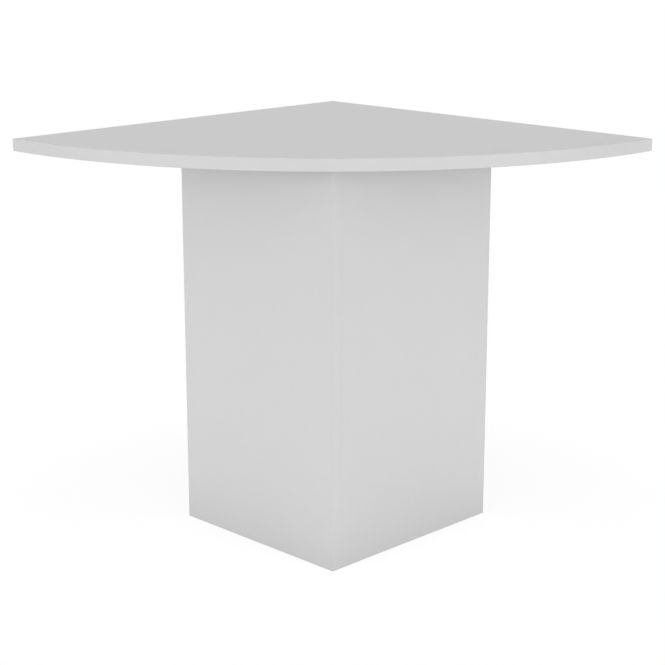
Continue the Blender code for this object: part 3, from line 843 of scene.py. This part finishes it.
bmesh.ops.create_cone(
    mouth,
    cap_ends=True,
    segments=ROUND_SIDES,
    radius1=MOUTH_RADIUS,
    radius2=MOUTH_RADIUS,
    depth=outside,
    matrix=Matrix.Translation(-X * outside / 2) @ Matrix.Rotation(pi / 2, 4, "Y"),
)
cut(cam, mouth)
cut_cross(cam, *CAM_CROSS, face)
arrow = bmesh.new()
arrow_spot = (ARROW_INWARD - (CAM_RIM + CAM_HUB) / 2, 0, face - CAM_DISH / 2 - ARROW_SUNK)
bmesh.ops.create_cone(
    arrow,
    cap_ends=True,
    segments=3,
    radius1=ARROW_RADIUS,
    radius2=ARROW_TOP,
    depth=CAM_DISH,
    matrix=Matrix.Translation(arrow_spot) @ Matrix.Rotation(pi / 2, 4, "Z"),
)
cut(cam, arrow, "UNION")


def placed(pattern, name, x_axis, z_axis, origin):
    """A copy of a piece, with its own X and Z axes turned as given, and its place in its mesh."""
    turn = Matrix((x_axis, z_axis.cross(x_axis), z_axis)).transposed().to_4x4()
    mesh = pattern.data.copy()
    mesh.transform(Matrix.Translation(origin) @ turn)
    mesh.name = name
    piece = bpy.data.objects.new(name, mesh)
    bpy.context.scene.collection.objects.link(piece)
    return piece


for joint in joint_names("cam_bolt_"):
    along, inward = joint_ways(joint)[:2]
    spot = bolt_mouth(joint) + along * CAM_SETBACK
    piece = placed(cam, f"cam_drum_{joint}", -along, inward, spot)
    fitted(piece, "die_cast_zinc", f"cam_{joint}")
bpy.data.objects.remove(cam)


# Cam bolts. Zinc-plated steel: a coarse thread that a driver runs into the neighbouring board, a
# grooved shank, and a ball head on a thin neck, which the cam takes hold of.
THREAD_RADIUS = 0.0025
THREAD_PITCH = 0.0018
THREAD_CUT = 0.0005
THREAD_STEPS = 12
THREAD_FLAT = 0.15
SCREW_TIP = 0.0008
SHANK_RADIUS = 0.0035
SHANK_CHAMFER = 0.0003
SHANK_END = 0.0244
SHANK_GROOVE = 0.0004
GROOVE_STARTS = (0.006, 0.011, 0.016)
GROOVE_LENGTH = 0.0028
NECK_RADIUS = 0.0017
NECK_TAPER = 0.0018
BALL_RADIUS = 0.0032
BALL_CUT_OFF = 0.3
BALL_STEPS = 12
HEAD_CROSS = (0.0028, 0.0007, 0.0014)
BOLT_SIDES = 40
STEEL_DULL = (0.58, 0.59, 0.61)
STEEL_BRIGHT = (0.66, 0.67, 0.69)


def cut_thread(shape, low, high, radius, pitch, depth):
    """Turns a rod's skin between two heights into a thread, which runs out at both ends."""
    for vert in shape.verts:
        reach = hypot(vert.co.x, vert.co.y)
        if not low < vert.co.z < high or abs(reach - radius) > depth / 2:
            continue
        phase = (vert.co.z / pitch - atan2(vert.co.y, vert.co.x) / (2 * pi)) % 1
        groove = min(1, max(0, (1 - abs(2 * phase - 1) - THREAD_FLAT) / (1 - 2 * THREAD_FLAT)))
        runout = min(1, (vert.co.z - low) / pitch, (high - vert.co.z) / pitch)
        inward = 1 - depth * groove * runout / radius
        vert.co.x *= inward
        vert.co.y *= inward


def rod(low, high, radius, pitch):
    """Points up the side of a rod, with the same number to each turn of its thread."""
    count = round(THREAD_STEPS * (high - low) / pitch)
    return [(radius, low + (high - low) * step / count) for step in range(count + 1)]


steel = metal_finish(
    "zinc_plated_steel", STEEL_DULL, STEEL_BRIGHT, smooth=0.22, rough=0.36, grain=700.0, depth=0.00001
)

grooves = []
for start in GROOVE_STARTS:
    grooves += [
        (SHANK_RADIUS, start),
        (SHANK_RADIUS - SHANK_GROOVE, start + SHANK_GROOVE),
        (SHANK_RADIUS - SHANK_GROOVE, start + GROOVE_LENGTH - SHANK_GROOVE),
        (SHANK_RADIUS, start + GROOVE_LENGTH),
    ]
ball_start = -acos(NECK_RADIUS / BALL_RADIUS)
ball_end = pi / 2 - BALL_CUT_OFF
ball = on_circle(BALL_RADIUS, ball_start, ball_end, BALL_STEPS)
head_high = CAM_SETBACK + BALL_RADIUS * sin(ball_end)
shape = turned(
    [
        (0, -BOARD / 2),
        (THREAD_RADIUS - SCREW_TIP, -BOARD / 2),
        *rod(SCREW_TIP - BOARD / 2, SHANK_CHAMFER, THREAD_RADIUS, THREAD_PITCH),
        (SHANK_RADIUS - SHANK_CHAMFER, SHANK_CHAMFER),
        (SHANK_RADIUS, 2 * SHANK_CHAMFER),
        *grooves,
        (SHANK_RADIUS, SHANK_END),
        (NECK_RADIUS, SHANK_END + NECK_TAPER),
        *[(radius, CAM_SETBACK + height) for radius, height in ball],
        (0, head_high),
    ],
    BOLT_SIDES,
)
cut_thread(shape, -BOARD / 2, SHANK_CHAMFER, THREAD_RADIUS, THREAD_PITCH, THREAD_CUT)
bolt = made_from(shape, "bolt", steel)
cut_cross(bolt, *HEAD_CROSS, head_high)
for joint in joint_names("cam_bolt_"):
    along, inward = joint_ways(joint)[:2]
    piece = placed(bolt, f"bolt_{joint}", inward, along, bolt_mouth(joint))
    fitted(piece, "zinc_plated_steel", f"cam_bolt_{joint}")
bpy.data.objects.remove(bolt)


# Dowels. Beech, 8 x 30 mm, with grooves pressed along them that let the glue and the air out, and
# with both ends chamfered. Half a board deep in one board, and the rest in the other's edge.
DOWEL_RADIUS = 0.004
DOWEL_CHAMFER = 0.001
DOWEL_RUNOUT = 0.0025
DOWEL_GROOVES = 24
DOWEL_GROOVE = 0.00025
GROOVE_SHARE = 0.1
GRAIN_SHARE = 0.08
BEECH_PALE = (0.66, 0.47, 0.29)
BEECH_DARK = (0.54, 0.36, 0.21)
BEECH_FLECK = (0.33, 0.2, 0.11)
BEECH_GRAIN = 900.0
BEECH_RELIEF = 0.00008
BEECH_SMOOTH = 0.6
BEECH_ROUGH = 0.8
FLECKS = 2600.0
FLECK_SHARE = 0.6
FLECK_START = 0.62
FLECK_END = 0.7


def beech_finish(name, stretch):
    """Pale red-brown wood, with its grain and its short dark flecks along the dowel."""
    made, tree, shader, place = finish(name, roughness=0.7)
    drawn = node(tree, "Mapping", {"Vector": place, "Scale": stretch}).outputs[0]
    grain = noise(tree, drawn, BEECH_GRAIN, detail=5.0, roughness=0.6)
    flecks = noise(tree, drawn, FLECKS, detail=1.0)
    wood = blended(tree, between(tree, grain, 0.0, 1.0), BEECH_PALE, BEECH_DARK)
    dark = between(tree, flecks, 0.0, FLECK_SHARE, FLECK_START, FLECK_END)
    tree.links.new(blended(tree, dark, wood, BEECH_FLECK), shader.inputs["Base Color"])
    tree.links.new(between(tree, grain, BEECH_SMOOTH, BEECH_ROUGH), shader.inputs["Roughness"])
    relief_from(tree, shader, grain, BEECH_RELIEF)
    return made


def pressed_grooves(shape, low, high, least_radius, count, depth):
    """Presses grooves up the side of a round body, in the outer points that lie between two heights."""
    for vert in shape.verts:
        reach = hypot(vert.co.x, vert.co.y)
        part = atan2(vert.co.y, vert.co.x) / (2 * pi) * count
        if low < vert.co.z < high and reach > least_radius and abs(part - round(part)) < GROOVE_SHARE:
            inward = 1 - depth / reach
            vert.co.x *= inward
            vert.co.y *= inward
    shape.normal_update()


far_end = DOWEL_LENGTH - DOWEL_CHAMFER
rings = (DOWEL_CHAMFER, DOWEL_RUNOUT, DOWEL_LENGTH - DOWEL_RUNOUT, far_end)
profile = [(0, 0), (DOWEL_RADIUS - DOWEL_CHAMFER, 0)]
profile += [(DOWEL_RADIUS, ring) for ring in rings]
profile += [(DOWEL_RADIUS - DOWEL_CHAMFER, DOWEL_LENGTH), (0, DOWEL_LENGTH)]
shape = turned(profile, 4 * DOWEL_GROOVES)
pressed_grooves(shape, DOWEL_CHAMFER, far_end, DOWEL_RADIUS / 2, DOWEL_GROOVES, DOWEL_GROOVE)
dowel = made_from(shape, "dowel")
beeches = {
    "x": beech_finish("beech_along_x", (GRAIN_SHARE, 1.0, 1.0)),
    "y": beech_finish("beech_along_y", (1.0, GRAIN_SHARE, 1.0)),
    "z": beech_finish("beech_upright", (1.0, 1.0, GRAIN_SHARE)),
}
for joint in joint_names("dowel_"):
    along = joint_ways(joint)[0]
    start = middle(f"dowel_{joint}") - along * DOWEL_LENGTH / 2
    piece = placed(dowel, f"beech_dowel_{joint}", along.orthogonal().normalized(), along, start)
    axis = "xyz"[max(range(3), key=lambda number: abs(along[number]))]
    piece.data.materials.append(beeches[axis])
    fitted(piece, "beech", f"dowel_{joint}")
bpy.data.objects.remove(dowel)


# Leveller brackets. Moulded nylon corners, 28 mm high, pressed into two panels by a peg behind each
# plate. The boss carries the stud in its thread, and the pocket behind it saves plastic.
PLATE = 0.0035
TOE = 0.009
BOSS_RADIUS = 0.009
BOSS_STEPS = 16
BRACKET_ROUNDING = 0.0005
SAME_LEVEL = 0.0001
POCKET_ROOF = 0.003
PEG_RADIUS = 0.005
PEG_LENGTH = 0.010
PEG_TAPER = 0.0010
BARBS = (0.0020, 0.0044, 0.0068)
BARB_HEIGHT = 0.0004
BARB_BACK = 0.0002
BARB_FOOT = 0.0010
STUD_RADIUS = 0.004
STUD_PITCH = 0.00125
STUD_THREAD = 0.0006
COLLAR_HIGH = 0.0153
NUT_PLAY = 0.00018
NUT_TURNS = (-2, 25)
NUT_MOUTH = 0.00094
NUT_FLARE = 0.0015
NUT_TAPER = 0.0009
NYLON_GRAIN = 900.0
NYLON_DARKER = (0.68, 0.68, 0.655)
NYLON_LIGHTER = (0.72, 0.72, 0.70)


def moulded_finish(name, grain, darker, lighter, smooth, rough, depth, strength):
    """Moulded plastic: two close colours, and the fine relief of the mould's skin."""
    made, tree, shader, place = finish(name, roughness=0.5)
    height, clouds = pressed_in(tree, place, grain)
    tone = blended(tree, between(tree, clouds, 0.0, 1.0), darker, lighter)
    tree.links.new(tone, shader.inputs["Base Color"])
    tree.links.new(between(tree, height, smooth, rough), shader.inputs["Roughness"])
    relief_from(tree, shader, height, depth, strength)
    return made


def in_each_corner(pattern, label, slot, part, inset=0.0):
    """A copy of a leveller's part in each inner corner of the column, on the body that carries it."""
    for (name, corner), turn in zip(corners.items(), turns):
        piece = placed(pattern, f"{label}_{name}", turn @ X, Z, corner + turn @ (X + Y) * inset)
        body = "carcass" if part == "bracket" else f"{part}_{name}"
        fitted(piece, slot, f"leveller_{part}_{name}", body=body)
    bpy.data.objects.remove(pattern)


nylon = moulded_finish(
    "white_nylon",
    NYLON_GRAIN,
    NYLON_DARKER,
    NYLON_LIGHTER,
    smooth=0.42,
    rough=0.56,
    depth=0.00004,
    strength=0.6,
)
bracket_low = BRACKET_FOOT
bracket_high = BRACKET_FOOT + BRACKET_HEIGHT
back = GLUE_LINE
plate = back + PLATE
edge = STUD_INSET + BOSS_RADIUS
toe = edge + TOE
nose = on_circle(BOSS_RADIUS, 0, pi / 2, BOSS_STEPS, (STUD_INSET, STUD_INSET))
first_plate = [(back, back), (toe, back), (toe, plate), (edge, plate)]
second_plate = [(plate, edge), (plate, toe), (back, toe)]
shape = standing([*first_plate, *nose, *second_plate], bracket_low, bracket_high)
rims = [one for one in shape.edges if abs(one.verts[0].co.z - one.verts[1].co.z) < SAME_LEVEL]
bmesh.ops.bevel(
    shape,
    geom=rims,
    offset=BRACKET_ROUNDING,
    affect="EDGES",
    segments=2,
    profile=0.5,
    material=-1,
)
bracket = made_from(shape, "bracket", nylon)
far = STUD_INSET - BOSS_RADIUS
pocket = [(plate, plate), (far, plate), (far, far), (plate, far)]
cut(bracket, standing(pocket, bracket_low - CUT_START, bracket_high - POCKET_ROOF))
barbs = []
for barb in BARBS[:-1]:
    barbs += [
        (PEG_RADIUS, barb),
        (PEG_RADIUS - BARB_HEIGHT, barb + BARB_BACK),
        (PEG_RADIUS - BARB_HEIGHT, barb + BARB_FOOT),
    ]
for side, into in ((X, -Y), (Y, -X)):
    peg = turned(
        [
            (0, -back - PLATE / 2),
            (PEG_RADIUS, -back - PLATE / 2),
            *barbs,
            (PEG_RADIUS, BARBS[-1]),
            (PEG_RADIUS - PEG_TAPER, PEG_LENGTH),
            (0, PEG_LENGTH),
        ],
        ROUND_SIDES,
    )
    turn = Z.rotation_difference(into).to_matrix().to_4x4()
    spot = side * STUD_INSET + Z * (bracket_low + bracket_high) / 2
    bmesh.ops.transform(peg, matrix=Matrix.Translation(spot) @ turn, verts=peg.verts)
    cut(bracket, peg, "UNION")
nut_radius = STUD_RADIUS + NUT_PLAY
nut_low, nut_high = [COLLAR_HIGH + turns_up * STUD_PITCH for turns_up in NUT_TURNS]
nut = [(0, nut_low), *rod(nut_low, nut_high, nut_radius, STUD_PITCH), (0, nut_high)]
shape = turned(nut, ROUND_SIDES)
cut_thread(shape, nut_low, nut_high, nut_radius, STUD_PITCH, STUD_THREAD)
bmesh.ops.triangulate(shape, faces=shape.faces)
bmesh.ops.translate(shape, verts=shape.verts, vec=(X + Y) * STUD_INSET)
cut(bracket, shape)
wide = nut_radius + NUT_FLARE
narrow = nut_radius - NUT_TAPER
for low, high, lower, upper in (
    (bracket_low - CUT_START, bracket_low + NUT_MOUTH, wide, narrow),
    (bracket_high - NUT_MOUTH, bracket_high + CUT_START, narrow, wide),
):
    shape = turned([(0, low), (lower, low), (upper, high), (0, high)], ROUND_SIDES)
    bmesh.ops.translate(shape, verts=shape.verts, vec=(X + Y) * STUD_INSET)
    cut(bracket, shape)
in_each_corner(bracket, "bracket", "white_nylon", "bracket")


# Leveller studs. Zinc-plated M8 steel: a flange that stays in the pad, a hexagon collar for a spanner,
# the thread, and a socket for a hexagon key on top, which can be reached from inside the column.
FLANGE_LOW = 0.0038
FLANGE_HIGH = 0.0058
FLANGE_RADIUS = 0.006
FLANGE_CHAMFER = 0.0003
COLLAR_LOW = 0.0103
COLLAR_ACROSS = 0.013
COLLAR_CHAMFER = 0.0006
COLLAR_SIDES = 48
STUD_TURNS = 28
STUD_RUNOUT = 0.0003
ROOT_PLAY = 0.0001
STUD_POINT = 0.001
STUD_HIGH = 0.0516
KEY_ACROSS = 0.004
KEY_DEPTH = 0.005


def hexagon(across):
    """Outline of a hexagon with the given width across its flats."""
    return on_circle(across / sqrt(3), 0, 2 * pi, 6)[:-1]


thread_end = COLLAR_HIGH + STUD_TURNS * STUD_PITCH
shape = turned(
    [
        (0, FLANGE_LOW),
        (FLANGE_RADIUS - FLANGE_CHAMFER, FLANGE_LOW),
        (FLANGE_RADIUS, FLANGE_LOW + FLANGE_CHAMFER),
        (FLANGE_RADIUS, FLANGE_HIGH),
        (STUD_RADIUS, FLANGE_HIGH),
        *rod(COLLAR_HIGH, thread_end, STUD_RADIUS, STUD_PITCH),
        (STUD_RADIUS - STUD_THREAD - ROOT_PLAY, thread_end + STUD_RUNOUT),
        (STUD_RADIUS - STUD_POINT, STUD_HIGH),
        (0, STUD_HIGH),
    ],
    ROUND_SIDES,
)
cut_thread(shape, COLLAR_HIGH, STUD_HIGH, STUD_RADIUS, STUD_PITCH, STUD_THREAD)
stud = made_from(shape, "stud", steel)
collar = made_from(standing(hexagon(COLLAR_ACROSS), COLLAR_LOW, COLLAR_HIGH), "collar", steel)
wide = COLLAR_ACROSS / sqrt(3)
narrow = COLLAR_ACROSS / 2
crown = turned(
    [
        (0, COLLAR_LOW - CUT_START),
        (narrow, COLLAR_LOW - CUT_START),
        (narrow, COLLAR_LOW),
        (wide, COLLAR_LOW + COLLAR_CHAMFER),
        (wide, COLLAR_HIGH - COLLAR_CHAMFER),
        (narrow, COLLAR_HIGH),
        (narrow, COLLAR_HIGH + CUT_START),
        (0, COLLAR_HIGH + CUT_START),
    ],
    COLLAR_SIDES,
)
cut(collar, crown, "INTERSECT")
shape = bmesh.new()
shape.from_mesh(collar.data)
bpy.data.objects.remove(collar)
cut(stud, shape, "UNION")
cut(stud, standing(hexagon(KEY_ACROSS), STUD_HIGH - KEY_DEPTH, STUD_HIGH + CUT_START))
in_each_corner(stud, "stud_m8", "zinc_plated_steel", "stud", STUD_INSET)


# Leveller pads. Moulded black plastic discs. The stud's flange snaps in under the lip, and turns
# while the pad stays still on the floor. Notches in the rim let fingers hold it.
PAD_LOW = 0.001
PAD_HIGH = 0.010
PAD_RADIUS = 0.015
PAD_RIM = 0.0045
PAD_WALL = 0.003
PAD_HOLLOW_RADIUS = 0.0100
PAD_HOLLOW = 0.0006
PAD_HOLLOW_SLOPE = 0.0004
PAD_ROUNDING = 0.0012
PAD_ROUNDING_MIDDLE = (0.0004, 0.0003)
PAD_CHAMFER = 0.0006
PAD_TOP_CHAMFER = 0.0010
TURN_ROOM = 0.0003
PAD_NOTCHES = 24
PAD_NOTCH = 0.0004
BLACK_GRAIN = 1500.0
BLACK_DARKER = (0.027, 0.027, 0.029)
BLACK_LIGHTER = (0.034, 0.034, 0.036)

black_plastic = moulded_finish(
    "black_plastic",
    BLACK_GRAIN,
    BLACK_DARKER,
    BLACK_LIGHTER,
    smooth=0.45,
    rough=0.62,
    depth=0.00005,
    strength=0.7,
)
socket = FLANGE_RADIUS + TURN_ROOM
lip = STUD_RADIUS + TURN_ROOM
inward, upward = PAD_ROUNDING_MIDDLE
shape = turned(
    [
        (0, PAD_LOW + PAD_HOLLOW),
        (PAD_HOLLOW_RADIUS, PAD_LOW + PAD_HOLLOW),
        (PAD_HOLLOW_RADIUS + PAD_HOLLOW_SLOPE, PAD_LOW),
        (PAD_RADIUS - PAD_ROUNDING, PAD_LOW),
        (PAD_RADIUS - inward, PAD_LOW + upward),
        (PAD_RADIUS, PAD_LOW + PAD_ROUNDING),
        (PAD_RADIUS, PAD_RIM - PAD_CHAMFER),
        (PAD_RADIUS - PAD_CHAMFER, PAD_RIM),
        (socket + PAD_WALL + PAD_TOP_CHAMFER, PAD_HIGH - PAD_TOP_CHAMFER),
        (socket + PAD_WALL, PAD_HIGH),
        (lip + PAD_CHAMFER, PAD_HIGH),
        (lip, PAD_HIGH - PAD_CHAMFER),
        (lip, FLANGE_HIGH + TURN_ROOM),
        (socket, FLANGE_HIGH + TURN_ROOM),
        (socket, FLANGE_LOW - TURN_ROOM),
        (0, FLANGE_LOW - TURN_ROOM),
    ],
    3 * PAD_NOTCHES,
)
pressed_grooves(shape, PAD_LOW, PAD_RIM, PAD_RADIUS - inward / 2, PAD_NOTCHES, PAD_NOTCH)
pad = made_from(shape, "pad", black_plastic)
in_each_corner(pad, "pad_disc", "black_plastic", "pad", STUD_INSET)
